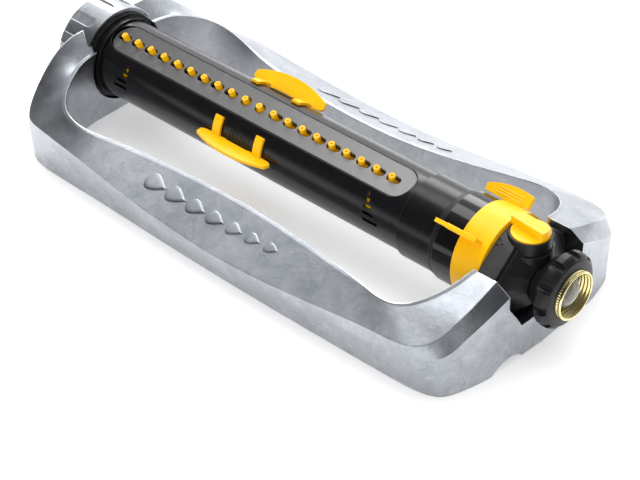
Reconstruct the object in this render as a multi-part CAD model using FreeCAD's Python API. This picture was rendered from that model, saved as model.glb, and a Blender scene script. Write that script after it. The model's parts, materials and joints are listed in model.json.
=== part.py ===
import FreeCAD, Part
import math
import os
from FreeCAD import Vector

os.makedirs("parts", exist_ok=True)

# Oscillating sprinkler. +X runs along the spray tube towards the hose inlet,
# +Y is the far side, +Z is up. The origin is the footprint's centre on the floor.
# Angles around the tube are measured from the top, positive towards -Y.

AXIS_Z = 43.2          # height of the tube axis above the floor
TUBE_ROLL = 18.7       # how far the spray tube is swung towards -Y at rest
FIT = 0.05             # radial running clearance
GAP = 0.3              # clearance between separate curved faces

# spray tube
TUBE_R = 24.6
TUBE_WALL = 2.0
TUBE_X0 = -176.0
TUBE_X1 = 88.5
TUBE_BORE = TUBE_R - TUBE_WALL
HOUSING_R = 26.0
HOUSING_X1 = 110.0

# flat plate on the tube
PLATE_TOP = 22.1
PLATE_THICK = 2.0
PLATE_HALF = 10.5
PLATE_X0 = -161.0
PLATE_X1 = 82.0
FOOT_Y = 6.7
NOZZLES = 20
NOZZLE_PITCH = 11.384
NOZZLE_X0 = -151.4
NOZZLE_R = 2.0
NOZZLE_TIP = 25.0
NOZZLE_LEAN = 14.0     # lean of the outermost nozzles, degrees
COMB_NOZZLES = 9       # nozzles guided by each comb; the middle pair stay upright
SLOT_INNER = 1.3       # centres of a plate slot's ends, from its nozzle
SLOT_OUTER = 3.7
SLOT_R = 2.5
MIDDLE_HOLE_R = 3.4
MIDDLE_LEAN = 1.0      # below this lean a nozzle stands in a round hole
STRIP_HALF = 4.8

# inner water tube
WATER_R = 15.0
WATER_BORE = 13.2
WATER_X0 = -160.0
WATER_X1 = 85.5
SADDLE_TOP = 15.6
SADDLE_HALF = 7.6
SADDLE_X1 = 80.0

# width control
SLEEVE_R = 20.8
SLEEVE_BORE = 19.0
SLEEVE_OPEN = 28.0     # half angle left open under the plate
SLEEVE_X1 = 73.0
SLIDER_X = -40.0
PRONG_SPACING = 33.4
PRONG_WIDTH = 6.0
PRONG_TOP = 37.5
POST_R = 1.9
FIN_ANGLE = 67.0
FIN_R = 36.8
FIN_HALF = 28.6
FIN_THICK = 1.8
WIDTH_TRAVEL = 7.0     # degrees each way
SLOT_MID = 49.0        # where the slider posts pass through the tube
GRIP_RIBS = 8
GRIP_STEP = 2.1
WINDOWS = ((36.0, 1.6), (45.0, 3.2), (54.0, 5.2), (63.5, 8.2), (74.0, 11.5))   # angle, length
WINDOW_HALF = 1.2
WINDOW_FAR_X = -136.5  # the rows line up on their inner ends
WINDOW_NEAR_X = 59.5
INDICATOR_R = 21.4
COMB_PIN_X = (-95.0, 15.0)
COMB_PIN_R = 1.1
COMB_PIN_ANGLE = -48.0
COMB_TRAVEL = 1.2
COMB_HALF = 5.6

# fixed end
COLLAR_R = 27.8
COLLAR_X0 = 113.9
COLLAR_X1 = 128.0
RING_X1 = 147.6
RING_R_FRONT = 29.2
RING_R_REAR = 28.6
BARREL_R = 24.7
BARREL_BORE = 21.8
BARREL_X0 = 116.0
BARREL_X1 = 147.3
THROAT_R = 18.9
COVER_R = 26.8
COVER_X0 = 148.3
COVER_X1 = 160.0
TENT_ANGLE = 40.0
BLOCK_HALF = 32.0
BLOCK_X1 = 162.0
NECK_X = 175.0
FLOW_BORE = 8.0

# range rings and their tabs
TAB_ANGLE = 44.0
TAB_R = 38.0
TAB_X0 = 112.0
TAB_X1 = 143.0

# flow knob
KNOB_X = 160.6
KNOB_R = 11.2
KNOB_TOP = 71.0
KNOB_BAR_Y = (-3.0, 4.8)
KNOB_BAR_R = 12.8
KNOB_BAR_TOP = 76.0
KNOB_BAR_TURN = -5.0
CUP_R = 12.4
CUP_TOP = 70.2

# hose coupling
NUT_X0 = 176.0
NUT_X1 = 191.0
NUT_R = 22.9
NUT_LOBES = 10
NUT_SCOOP_R = 2.8
NUT_SCOOP_DEEP = 3.5
NUT_SCOOP_AT = 21.5    # angle of the first groove
INSERT_X0 = 180.0
INSERT_X1 = 194.0
INSERT_R = 14.9
INSERT_BORE = 13.2
THREAD_X0 = 186.0

# drive
CASE_R = 21.5
CASE_BORE = 20.0
CASE_X0 = 91.5
CASE_X1 = 128.0
GEAR_MODULE = 0.5
WHEEL_TEETH = 30
PINION_TEETH = 10
RING_GEAR_X0 = 86.0
RING_GEAR_X1 = 91.0
FINAL_MODULE = 0.8
FINAL_PINION_TEETH = 12
RING_TEETH = 38
TURBINE_R = 17.5
TURBINE_BLADES = 12

# frame
RING_R = 31.0
RING_BORE = 28.5
FAR_X = -194.0
FAR_FRONT = -168.0
NOTCH_HALF = 32.3
FRAME_WALL = 3.2
# Half of the casting as stations from the near end's middle round to the far end's
# middle: inner rim, upper crease, lower crease, foot.
FRAME_STATIONS = (
    ((147.6, 0, 57.0), (163.8, 0, 56.6), (173.8, 0, 50.5), (173.5, 0)),
    ((147.6, 33, 56.4), (163.8, 33, 56.0), (173.6, 33, 50.0), (172.6, 33)),
    ((143.5, 47, 51.0), (163.2, 48, 50.0), (170.6, 48, 41.8), (171.6, 48)),
    ((136.0, 60, 45.8), (161.9, 62, 44.6), (167.0, 63, 33.6), (168.0, 63)),
    ((126.0, 68.6, 42.2), (157.0, 77, 37.0), (162.6, 76, 28.2), (161.0, 75.5)),
    ((116.0, 70.8, 41.2), (146.0, 85, 33.8), (151.0, 83, 26.0), (148.0, 79.6)),
    ((103.0, 69.0, 40.8), (124.0, 87, 32.2), (126.0, 86, 24.0), (126.0, 80.6)),
    ((82.0, 64.6, 39.6), (90.0, 88, 29.0), (90.0, 86.6, 20.0), (90.0, 81.0)),
    ((50.0, 59.0, 37.4), (52.0, 88.6, 24.4), (52.0, 86.6, 16.0), (52.0, 81.2)),
    ((10.0, 54.6, 36.2), (10.0, 88.6, 21.2), (10.0, 86.2, 13.0), (10.0, 81.0)),
    ((-34.0, 54.6, 36.0), (-34.0, 87.6, 21.6), (-34.0, 85.6, 13.4), (-34.0, 80.2)),
    ((-76.0, 58.0, 36.2), (-76.0, 86.0, 25.0), (-76.0, 84.4, 16.6), (-76.0, 79.0)),
    ((-110.0, 63.6, 37.4), (-112.0, 84.0, 29.2), (-112.0, 82.6, 20.0), (-112.0, 78.0)),
    ((-133.0, 68.4, 40.0), (-140.0, 82.2, 31.4), (-142.0, 81.0, 22.0), (-144.0, 77.6)),
    ((-146.0, 65.6, 44.2), (-158.0, 80.2, 32.0), (-160.0, 79.0, 23.0), (-163.0, 76.0)),
    ((-153.0, 58.4, 48.8), (-169.0, 76.4, 35.0), (-173.0, 74.6, 26.0), (-175.0, 70.6)),
    ((-157.6, 48.6, 53.2), (-174.4, 62.0, 48.6), (-178.0, 62.0, 36.0), (-180.0, 60.0)),
    ((-160.6, 37.6, 56.6), (-176.4, 44.0, 62.0), (-180.0, 44.0, 46.0), (-181.6, 43.0)),
    ((-162.0, 18.0, 58.0), (-177.6, 20.0, 66.0), (-181.6, 20.0, 50.0), (-182.4, 20.0)),
    ((-162.4, 0, 58.4), (-178.0, 0, 67.0), (-182.0, 0, 51.0), (-182.6, 0)),
)
HOLLOW_FIRST = 2       # the casting is hollow between these stations
HOLLOW_LAST = 17
RIM_STRIP = 2.6
INNER_FOOT_Z = 8.0
SOLE_Z = -2.0          # the loft runs below the floor and is cut off flat
ARCH_AT = 30.0         # two low arches under the near end, either side of the middle foot
ARCH_HALF = 13.0
ARCH_RISE = 5.5
POCKETS = 5
POCKET_STEP = 30.0
INLET_SCREWS = ((156.5, -12.0), (156.5, 12.0))


def point_at(radius, degrees, x=0.0):
    """Point at a radius and angle round the tube axis."""
    a = math.radians(degrees)
    return Vector(x, -radius * math.sin(a), AXIS_Z + radius * math.cos(a))


def cyl_x(radius, x0, x1, y=0.0, z=AXIS_Z):
    return Part.makeCylinder(radius, x1 - x0, Vector(x0, y, z), Vector(1, 0, 0))


def cyl_z(radius, z0, z1, x, y=0.0):
    return Part.makeCylinder(radius, z1 - z0, Vector(x, y, z0))


def ring_x(outer, inner, x0, x1, y=0.0, z=AXIS_Z):
    return cyl_x(outer, x0, x1, y, z).cut(cyl_x(inner, x0 - 1, x1 + 1, y, z))


def block(x0, x1, y0, y1, z0, z1):
    return Part.makeBox(x1 - x0, y1 - y0, z1 - z0, Vector(x0, y0, z0))


def turned(shape, degrees):
    """Shape turned about the tube axis, towards -Y."""
    result = shape.copy()
    result.rotate(Vector(0, 0, AXIS_Z), Vector(1, 0, 0), degrees)
    return result


def prism_x(points, x0, x1):
    """Closed outline in the YZ plane, drawn out along X."""
    outline = [Vector(x0, y, z) for y, z in points]
    face = Part.Face(Part.makePolygon(outline + outline[:1]))
    return face.extrude(Vector(x1 - x0, 0, 0))


def sector(outer, inner, x0, x1, a0, a1):
    """Part of a ring between two angles."""
    mid = (a0 + a1) / 2.0
    big = Part.Arc(point_at(outer, a0, x0), point_at(outer, mid, x0), point_at(outer, a1, x0))
    small = Part.Arc(point_at(inner, a1, x0), point_at(inner, mid, x0), point_at(inner, a0, x0))
    sides = [big.toShape(),
             Part.makeLine(point_at(outer, a1, x0), point_at(inner, a1, x0)),
             small.toShape(),
             Part.makeLine(point_at(inner, a0, x0), point_at(outer, a0, x0))]
    return Part.Face(Part.Wire(sides)).extrude(Vector(x1 - x0, 0, 0))


def radial_slot(length, width, x, degrees, inner, outer):
    """Round-ended cutter pointing out from the axis; its length runs round the tube."""
    body = block(x - width / 2, x + width / 2, -length / 2, length / 2, AXIS_Z + inner, AXIS_Z + outer)
    for y in (-length / 2, length / 2):
        body = body.fuse(cyl_z(width / 2, AXIS_Z + inner, AXIS_Z + outer, x, y))
    return turned(body, degrees)


def rolled(shape):
    """Part of the spray tube, in its resting position."""
    return turned(shape, TUBE_ROLL)


def torus_x(major, minor, x):
    return Part.makeTorus(major, minor, Vector(x, 0, AXIS_Z), Vector(1, 0, 0))


def torus_z(major, minor, x, z):
    return Part.makeTorus(major, minor, Vector(x, 0, z))


def export(name, shape):
    shape.exportStep("parts/%s.step" % name)


# ---------------------------------------------------------------- frame

def track(points, params):
    curve = Part.BSplineCurve()
    curve.interpolate(Points=points, Parameters=params)
    return curve.toShape()


def closed_loft(sections):
    """Solid whose edges run smoothly through matching corners of the sections."""
    corners = len(sections[0])
    params = [0.0]
    for a, b in zip(sections, sections[1:]):
        params.append(params[-1] + a[2].distanceToPoint(b[2]))
    tracks = [track([s[k] for s in sections], params) for k in range(corners)]
    faces = [Part.makeRuledSurface(tracks[k], tracks[(k + 1) % corners]) for k in range(corners)]
    for s in (sections[0], sections[-1]):
        for b, c in zip(s[1:], s[2:]):
            faces.append(Part.Face(Part.makePolygon([s[0], b, c, s[0]])))
    shell = Part.makeShell([f for face in faces for f in face.Faces])
    shell.sewShape()
    solid = Part.makeSolid(shell)
    if solid.Volume < 0:
        solid.reverse()
    return solid


def outward(station):
    """Level direction from the rim to the foot."""
    rim, foot = station[0], station[3]
    return Vector(foot[0] - rim[0], foot[1] - rim[1], 0).normalize()


def outer_section(station):
    rim, crease, low = (Vector(*p) for p in station[:3])
    foot = Vector(station[3][0], station[3][1], SOLE_Z)
    away = outward(station)
    inner_foot = Vector(rim.x, rim.y, INNER_FOOT_Z) + away * 0.8
    strip = rim + away * RIM_STRIP + Vector(0, 0, -0.5)
    sole = foot - away * (FRAME_WALL + 0.6)
    return [inner_foot, rim, strip, crease, low, foot, sole]


def hollow_section(station):
    rim, crease, low = (Vector(*p) for p in station[:3])
    foot = Vector(station[3][0], station[3][1], 0)
    away = outward(station) * FRAME_WALL
    below = Vector(0, 0, -5)
    start = Vector(rim.x, rim.y, below.z) + away * 1.3
    top = rim + away * 1.1 + Vector(0, 0, -FRAME_WALL - 1)
    edge = crease - away + Vector(0, 0, -FRAME_WALL)
    side = low - away + Vector(0, 0, -1)
    return [start, top, edge, side, foot - away + below]


def base_frame():
    half = closed_loft([outer_section(s) for s in FRAME_STATIONS])
    hollow = closed_loft([hollow_section(s) for s in FRAME_STATIONS[HOLLOW_FIRST:HOLLOW_LAST]])
    half = half.cut(hollow)
    frame = half.fuse(half.mirror(Vector(0, 0, 0), Vector(0, 1, 0)))
    # bearing ring at the far end, with a rounded back
    ring = cyl_x(RING_R, FAR_X, FAR_FRONT)
    back = [e for e in ring.Edges if e.BoundBox.XMax < FAR_X + 0.1 and e.Length > 150]
    frame = frame.fuse(ring.makeFillet(4.0, back))
    frame = frame.cut(cyl_x(RING_BORE, FAR_X + 5, FAR_FRONT + 20))
    for k in range(POCKETS):
        angle = (k - (POCKETS - 1) / 2) * POCKET_STEP
        pocket = block(FAR_X - 1, FAR_FRONT - 9, -3.6, 3.6, AXIS_Z + RING_R - 1.1, AXIS_Z + RING_R + 2)
        nose = cyl_z(3.6, AXIS_Z + RING_R - 1.1, AXIS_Z + RING_R + 2, FAR_FRONT - 9)
        frame = frame.cut(turned(pocket.fuse(nose), angle))
    # notch that carries the inlet body
    notch = [(-NOTCH_HALF, 90), (-NOTCH_HALF, 42), (-20.3, 24),
             (20.3, 24), (NOTCH_HALF, 42), (NOTCH_HALF, 90)]
    frame = frame.cut(prism_x(notch, 130, 190))
    frame = frame.cut(block(152, 169, -29, 29, -1, 17.5))
    for x, y in INLET_SCREWS:
        frame = frame.cut(cyl_z(1.9, 10, 30, x, y))
    frame = frame.cut(block(FAR_X - 5, BLOCK_X1 + 30, -100, 100, SOLE_Z - 5, 0))
    arch_r = (ARCH_HALF ** 2 + ARCH_RISE ** 2) / (2 * ARCH_RISE)
    for y in (-ARCH_AT, ARCH_AT):
        frame = frame.cut(cyl_x(arch_r, 140, 190, y, ARCH_RISE - arch_r))
    return frame


# ---------------------------------------------------------------- far end

def far_bearing():
    body = cyl_x(RING_BORE, FAR_X + 5.2, FAR_FRONT + 1)
    body = body.fuse(cyl_x(28.0, FAR_FRONT, FAR_FRONT + 2.6)).fuse(cyl_x(26.0, FAR_FRONT, PLATE_X0 - 0.4))
    body = body.cut(cyl_x(TUBE_R + 0.1, TUBE_X0 - 2, PLATE_X0 + 1))
    return body.cut(cyl_x(6.0 + FIT, FAR_X, FAR_FRONT))


def end_cap():
    body = cyl_x(TUBE_BORE, TUBE_X0 + 1, TUBE_X0 + 7)
    return body.fuse(cyl_x(6.0, FAR_X + 6.5, TUBE_X0 + 2))


def end_thrust_washer():
    return ring_x(11.0, 6.0 + 0.2, TUBE_X0 - 1.9, TUBE_X0 + 0.9)


# ---------------------------------------------------------------- spray tube

def plate_outline(half, x0, x1, z0, z1):
    body = block(x0 + half, x1 - half, -half, half, AXIS_Z + z0, AXIS_Z + z1)
    for x in (x0 + half, x1 - half):
        body = body.fuse(cyl_z(half, AXIS_Z + z0, AXIS_Z + z1, x))
    return body


def nozzle_positions():
    """Station and lean of each nozzle; they fan out from the middle."""
    middle = (NOZZLES - 1) / 2.0
    for k in range(NOZZLES):
        yield NOZZLE_X0 + k * NOZZLE_PITCH, NOZZLE_LEAN * (k - middle) / middle


def nozzle_axis(x, lean, z):
    """Where a nozzle's centreline crosses a height above the axis."""
    return x + (z - SADDLE_TOP) * math.tan(math.radians(lean))


def tube_shell():
    shell = ring_x(TUBE_R, TUBE_BORE, TUBE_X0, TUBE_X1)
    shell = shell.cut(plate_outline(PLATE_HALF + 0.6, PLATE_X0 - 0.6, PLATE_X1 + 0.6, 10, 40))
    for side in (1, -1):
        for dx in (-PRONG_SPACING / 2, PRONG_SPACING / 2):
            length = TUBE_R * math.radians(2 * WIDTH_TRAVEL)
            slot = radial_slot(length, 2 * POST_R + 0.6, SLIDER_X + dx, side * SLOT_MID, 15, 30)
            shell = shell.cut(slot)
        # grip ribs between the prongs
        for k in range(GRIP_RIBS):
            x = SLIDER_X + GRIP_STEP * (k - (GRIP_RIBS - 1) / 2)
            rib = sector(TUBE_R + 0.5, TUBE_R - 0.5, x - 0.45, x + 0.45, *sorted((side * 47, side * 65)))
            shell = shell.fuse(rib)
    for x, way in ((WINDOW_FAR_X, -1), (WINDOW_NEAR_X, 1)):
        for angle, length in WINDOWS:
            x0, x1 = sorted((x, x + way * length))
            window = block(x0, x1, -WINDOW_HALF, WINDOW_HALF, AXIS_Z + 15, AXIS_Z + 30)
            shell = shell.cut(turned(window, angle))
    return rolled(shell)


def top_plate():
    plate = plate_outline(PLATE_HALF, PLATE_X0, PLATE_X1, PLATE_TOP - PLATE_THICK, PLATE_TOP)
    for x, lean in nozzle_positions():
        low = AXIS_Z + PLATE_TOP - PLATE_THICK - 1
        high = AXIS_Z + PLATE_TOP + 1
        centre = nozzle_axis(x, lean, PLATE_TOP)
        if abs(lean) < MIDDLE_LEAN:
            plate = plate.cut(cyl_z(MIDDLE_HOLE_R, low, high, centre))
            continue
        way = math.copysign(1, lean)
        x0, x1 = sorted((centre - way * SLOT_INNER, centre + way * SLOT_OUTER))
        hole = block(x0, x1, -SLOT_R, SLOT_R, low, high)
        for x_end in (x0, x1):
            hole = hole.fuse(cyl_z(SLOT_R, low, high, x_end))
        plate = plate.cut(hole)
    # feet that stand on the water tube's saddle, either side of the nozzle strip
    for x in (PLATE_X0 + 3.0, PLATE_X1 - 8.0):
        for y in (-FOOT_Y, FOOT_Y):
            foot = block(x, x + 5.0, y - 0.6, y + 0.6, AXIS_Z + SADDLE_TOP, AXIS_Z + PLATE_TOP - 1)
            plate = plate.fuse(foot)
    return rolled(plate)


def nozzle_strip():
    """Soft strip along the water tube with all the nozzles on it."""
    strip = plate_outline(STRIP_HALF, NOZZLE_X0 - 7, NOZZLE_X0 + (NOZZLES - 1) * NOZZLE_PITCH + 7,
                          SADDLE_TOP, SADDLE_TOP + 1.6)
    for x, lean in nozzle_positions():
        a = math.radians(lean)
        direction = Vector(math.sin(a), 0, math.cos(a))
        foot = Vector(x, 0, AXIS_Z + SADDLE_TOP) + direction * 0.8
        length = (NOZZLE_TIP - SADDLE_TOP) / math.cos(a) - 0.8
        nozzle = Part.makeCylinder(NOZZLE_R, length, foot, direction)
        strip = strip.fuse(nozzle)
        strip = strip.cut(Part.makeCylinder(0.6, length + 6, foot - direction * 3, direction))
    return rolled(strip)


def water_tube():
    saddle = block(WATER_X0 + 1, SADDLE_X1, -SADDLE_HALF, SADDLE_HALF, AXIS_Z, AXIS_Z + SADDLE_TOP)
    body = cyl_x(WATER_R, WATER_X0, WATER_X1).fuse(saddle)
    body = body.cut(cyl_x(WATER_BORE, WATER_X0 - 1, WATER_X1 + 1))
    for x, lean in nozzle_positions():
        body = body.cut(cyl_z(1.1, AXIS_Z + 10, AXIS_Z + 20, x))
    return rolled(body)


def water_tube_plug():
    body = cyl_x(WATER_BORE - GAP, WATER_X0 - 1.5, WATER_X0 + 6)
    body = body.fuse(cyl_x(TUBE_BORE - 0.1, WATER_X0 - 4.5, WATER_X0 - 1))
    body = body.cut(block(WATER_X0 - 5, WATER_X0 - 1, -PLATE_HALF - 1, PLATE_HALF + 1,
                          AXIS_Z + SADDLE_TOP, AXIS_Z + TUBE_R))
    return rolled(body.cut(ring_x(20, 11.6, WATER_X0 + 1.5, WATER_X0 + 3.7)))


def water_tube_plug_ring():
    return rolled(torus_x(12.35, 0.74, WATER_X0 + 2.6))


def manifold_flange():
    """Carries the near end of the water tube inside the spray tube."""
    body = ring_x(TUBE_BORE - 0.02, WATER_R + 0.02, WATER_X1 - 2.5, WATER_X1)
    return rolled(body)


def width_sleeve():
    sleeve = sector(SLEEVE_R, SLEEVE_BORE, NOZZLE_X0, SLEEVE_X1, SLEEVE_OPEN, 360 - SLEEVE_OPEN)
    # oblique slots that carry the comb pins along the tube as the sleeve turns
    rise = SLEEVE_BORE * math.radians(WIDTH_TRAVEL)
    oblique = math.degrees(math.atan2(COMB_TRAVEL, rise))
    half = math.hypot(rise, COMB_TRAVEL) + COMB_PIN_R + 0.4
    width = COMB_PIN_R + 0.3
    for x, way in zip(COMB_PIN_X, (1, -1)):
        slot = block(x - width, x + width, -half, half, AXIS_Z + 15, AXIS_Z + 30)
        slot.rotate(Vector(x, 0, 0), Vector(0, 0, 1), way * oblique)
        sleeve = sleeve.cut(turned(slot, COMB_PIN_ANGLE))
    return rolled(sleeve)


def width_slider(side):
    """Radial fin with two prongs that wrap up the tube to posts in its slots."""
    inner = TUBE_R + GAP
    fin = [Vector(-21.5, 0, inner), Vector(-26.5, 0, inner + 0.6), Vector(-FIN_HALF, 0, 27.0),
           Vector(-FIN_HALF + 0.6, 0, 31.0)]
    mirrored = [Vector(-p.x, 0, p.z) for p in reversed(fin)]
    edges = [Part.makeLine(a, b) for a, b in zip(fin, fin[1:])]
    edges.append(Part.Arc(fin[-1], Vector(0, 0, FIN_R), mirrored[0]).toShape())
    edges += [Part.makeLine(a, b) for a, b in zip(mirrored, mirrored[1:])]
    edges.append(Part.makeLine(mirrored[-1], fin[0]))
    body = Part.Face(Part.Wire(edges)).extrude(Vector(0, FIN_THICK, 0))
    body.translate(Vector(SLIDER_X, -FIN_THICK / 2, AXIS_Z))
    body = turned(body, FIN_ANGLE).cut(cyl_x(TUBE_R + 0.8, SLIDER_X - 9, SLIDER_X + 9))
    for dx in (-PRONG_SPACING / 2, PRONG_SPACING / 2):
        x = SLIDER_X + dx
        prong = sector(inner + 1.7, inner, x - PRONG_WIDTH / 2, x + PRONG_WIDTH / 2, PRONG_TOP, FIN_ANGLE)
        post = cyl_z(POST_R, AXIS_Z + SLEEVE_R, AXIS_Z + inner + 1, x)
        body = body.fuse(prong).fuse(turned(post, SLOT_MID))
    if side < 0:
        body = body.mirror(Vector(0, 0, 0), Vector(0, 1, 0))
    return rolled(body)


def width_indicator():
    """Coloured strips on the sleeve, under the upper rows of each window group."""
    spans = ((WINDOW_FAR_X - 7, WINDOW_FAR_X + 2), (WINDOW_NEAR_X - 2, WINDOW_NEAR_X + 7))
    pads = [sector(INDICATOR_R, SLEEVE_R + 0.01, x0, x1, SLEEVE_OPEN + 1, 58.5) for x0, x1 in spans]
    return rolled(Part.makeCompound(pads))


def nozzle_comb(first, pin_x):
    """Flat bar round one group of nozzles; sliding it leans them together."""
    stations = list(nozzle_positions())[first:first + COMB_NOZZLES]
    low, high = SADDLE_TOP + 1.9, PLATE_TOP - PLATE_THICK - 0.4
    middle = (low + high) / 2
    travel = COMB_TRAVEL + NOZZLE_R + 0.8
    start = nozzle_axis(stations[0][0], stations[0][1], middle) - travel - 1.6
    end = nozzle_axis(stations[-1][0], stations[-1][1], middle) + travel + 1.6
    bar = block(start, end, -COMB_HALF, COMB_HALF, AXIS_Z + low, AXIS_Z + high)
    for x, lean in stations:
        centre = nozzle_axis(x, lean, middle)
        bar = bar.cut(block(centre - travel, centre + travel, -NOZZLE_R - 0.5, NOZZLE_R + 0.5,
                            AXIS_Z + low - 1, AXIS_Z + high + 1))
    # arm round the water tube to the pin that rides in the sleeve's oblique slot
    arm = sector(SLEEVE_BORE - 0.3, SLEEVE_BORE - 1.3, pin_x - 3, pin_x + 3, COMB_PIN_ANGLE - 4, -18.5)
    heel = block(pin_x - 3, pin_x + 3, COMB_HALF - 0.8, COMB_HALF + 0.8, AXIS_Z + low, AXIS_Z + low + 1.1)
    pin = turned(cyl_z(COMB_PIN_R, AXIS_Z + SLEEVE_BORE - 1.2, AXIS_Z + SLEEVE_R, pin_x), COMB_PIN_ANGLE)
    return rolled(bar.fuse(heel).fuse(arm).fuse(pin))


def drive_housing():
    body = ring_x(HOUSING_R, TUBE_BORE, TUBE_X1, HOUSING_X1)
    return rolled(body.fuse(ring_x(HOUSING_R, TUBE_R + 0.02, TUBE_X1 - 2.5, TUBE_X1)))


def involute_gear(module, teeth, x0, x1, y, z, bore, spin=0.0, thin=0.0):
    """Spur gear with straight-flanked teeth; thin narrows each tooth for backlash."""
    pitch_r = module * teeth / 2
    root, tip = pitch_r - 1.15 * module, pitch_r + 0.9 * module
    step = 2 * math.pi / teeth
    shares = ((root, 0.36), (pitch_r, 0.25), (tip, 0.13))
    outline = []
    for k in range(teeth):
        mid = k * step + math.radians(spin)
        for radius, share in shares:
            a = mid - share * step + thin / radius
            outline.append(Vector(x0, y + radius * math.sin(a), z + radius * math.cos(a)))
        for radius, share in reversed(shares):
            a = mid + share * step - thin / radius
            outline.append(Vector(x0, y + radius * math.sin(a), z + radius * math.cos(a)))
    body = Part.Face(Part.makePolygon(outline + outline[:1])).extrude(Vector(x1 - x0, 0, 0))
    if bore:
        body = body.cut(cyl_x(bore, x0 - 1, x1 + 1, y, z))
    return body


def ring_gear():
    """Internal gear fixed in the spray tube."""
    blank = cyl_x(TUBE_BORE - 0.02, RING_GEAR_X0, RING_GEAR_X1)
    cutter = involute_gear(FINAL_MODULE, RING_TEETH, RING_GEAR_X0 - 1, RING_GEAR_X1 + 1, 0, AXIS_Z, 0,
                           RING_SPIN, -0.12)
    return blank.cut(cutter)



# ---------------------------------------------------------------- drive

STAGE_DISTANCE = GEAR_MODULE * (WHEEL_TEETH + PINION_TEETH) / 2
FINAL_DISTANCE = FINAL_MODULE * (RING_TEETH - FINAL_PINION_TEETH) / 2
# the idler stands at the top; the output gear stands where it meshes with it
IDLER_ANGLE = 0.0


def triangle_angle():
    """Angle at the tube axis between the idler and the output gear."""
    a, b, c = STAGE_DISTANCE, FINAL_DISTANCE, STAGE_DISTANCE
    return math.degrees(math.acos((a * a + b * b - c * c) / (2 * a * b)))


def gear_centre(distance, degrees):
    p = point_at(distance, degrees)
    return p.y, p.z


def mesh_spin(from_y, from_z, to_y, to_z, from_teeth, from_spin, to_teeth):
    """Spin that puts a gap of the second gear on the tooth line of the first."""
    line = math.degrees(math.atan2(to_y - from_y, to_z - from_z))
    phase = (line - from_spin) * from_teeth / 360.0
    back = line + 180.0
    return back + (phase + 0.5) * 360.0 / to_teeth


IDLER_Y, IDLER_Z = gear_centre(STAGE_DISTANCE, IDLER_ANGLE)
OUTPUT_Y, OUTPUT_Z = gear_centre(FINAL_DISTANCE, triangle_angle())
WHEEL1_SPIN = mesh_spin(0, AXIS_Z, IDLER_Y, IDLER_Z, PINION_TEETH, 0.0, WHEEL_TEETH)
WHEEL2_SPIN = mesh_spin(IDLER_Y, IDLER_Z, OUTPUT_Y, OUTPUT_Z, PINION_TEETH, WHEEL1_SPIN, WHEEL_TEETH)
OUTPUT_LINE = math.degrees(math.atan2(OUTPUT_Y, OUTPUT_Z - AXIS_Z))
# a pinion tooth and a ring-gear space both point along the line of centres
PINION_SPIN = OUTPUT_LINE
RING_SPIN = OUTPUT_LINE


def turbine_shaft():
    shaft = cyl_x(1.5, 93.0, 126.0)
    return shaft.fuse(involute_gear(GEAR_MODULE, PINION_TEETH, 103.5, 110.5, 0, AXIS_Z, 0, 0.0, 0.06))


def turbine_wheel():
    wheel = ring_x(6.0, 1.5, 116.0, 122.5)
    wheel = wheel.fuse(ring_x(TURBINE_R, TURBINE_R - 1.2, 116.0, 122.5))
    for k in range(TURBINE_BLADES):
        blade = block(116.6, 121.9, -0.5, 0.5, AXIS_Z + 5.5, AXIS_Z + TURBINE_R - 0.6)
        wheel = wheel.fuse(turned(blade, 360.0 * k / TURBINE_BLADES))
    return wheel


def idler_gear():
    wheel = involute_gear(GEAR_MODULE, WHEEL_TEETH, 104.5, 109.5, IDLER_Y, IDLER_Z,
                          1.0 + FIT, WHEEL1_SPIN, 0.06)
    pinion = involute_gear(GEAR_MODULE, PINION_TEETH, 95.5, 104.6, IDLER_Y, IDLER_Z,
                           1.0 + FIT, WHEEL1_SPIN, 0.06)
    return wheel.fuse(pinion)


def output_gear():
    wheel = involute_gear(GEAR_MODULE, WHEEL_TEETH, 96.0, 101.5, OUTPUT_Y, OUTPUT_Z, 1.3, WHEEL2_SPIN, 0.06)
    return wheel


def output_pinion():
    pinion = involute_gear(FINAL_MODULE, FINAL_PINION_TEETH, RING_GEAR_X0 + 0.2, RING_GEAR_X1 + 0.2,
                           OUTPUT_Y, OUTPUT_Z, 0, PINION_SPIN, 0.06)
    return pinion.fuse(cyl_x(1.3, RING_GEAR_X0 + 0.2, 113.5, OUTPUT_Y, OUTPUT_Z))


def idler_pin():
    return cyl_x(1.0, 92.3, 113.7, IDLER_Y, IDLER_Z)


def gear_plate(x0, x1, spindle_r):
    plate = cyl_x(CASE_BORE - 0.1, x0, x1)
    plate = plate.cut(cyl_x(1.5 + FIT, x0 - 1, x1 + 1))
    plate = plate.cut(cyl_x(1.0 + 0.02, x0 - 1, x1 + 1, IDLER_Y, IDLER_Z))
    plate = plate.cut(cyl_x(spindle_r, x0 - 1, x1 + 1, OUTPUT_Y, OUTPUT_Z))
    for angle in (130.0, 180.0, 230.0, 280.0):
        y, z = gear_centre(13.0, angle)
        plate = plate.cut(cyl_x(4.0, x0 - 1, x1 + 1, y, z))
    return plate


def motor_case():
    case = ring_x(CASE_R, CASE_BORE, CASE_X0, CASE_X1)
    case = case.fuse(ring_x(TUBE_BORE - FIT, CASE_BORE, 97.0, 109.5))
    return case.cut(ring_x(30, 20.9, 102.3, 104.7))


def main_seal():
    return torus_x(21.75, 0.82, 103.5)


def stator_plate():
    plate = cyl_x(CASE_BORE - 0.1, 124.0, 127.0)
    plate = plate.cut(cyl_x(1.5 + FIT, 123.0, 126.5))
    for k in range(8):
        jet = cyl_x(1.6, 123.0, 128.0, 0, AXIS_Z + 14.0)
        plate = plate.cut(turned(jet, 45.0 * k + 22.5))
    return plate.fuse(cyl_x(1.5, 126.5, 141.0))


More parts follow.
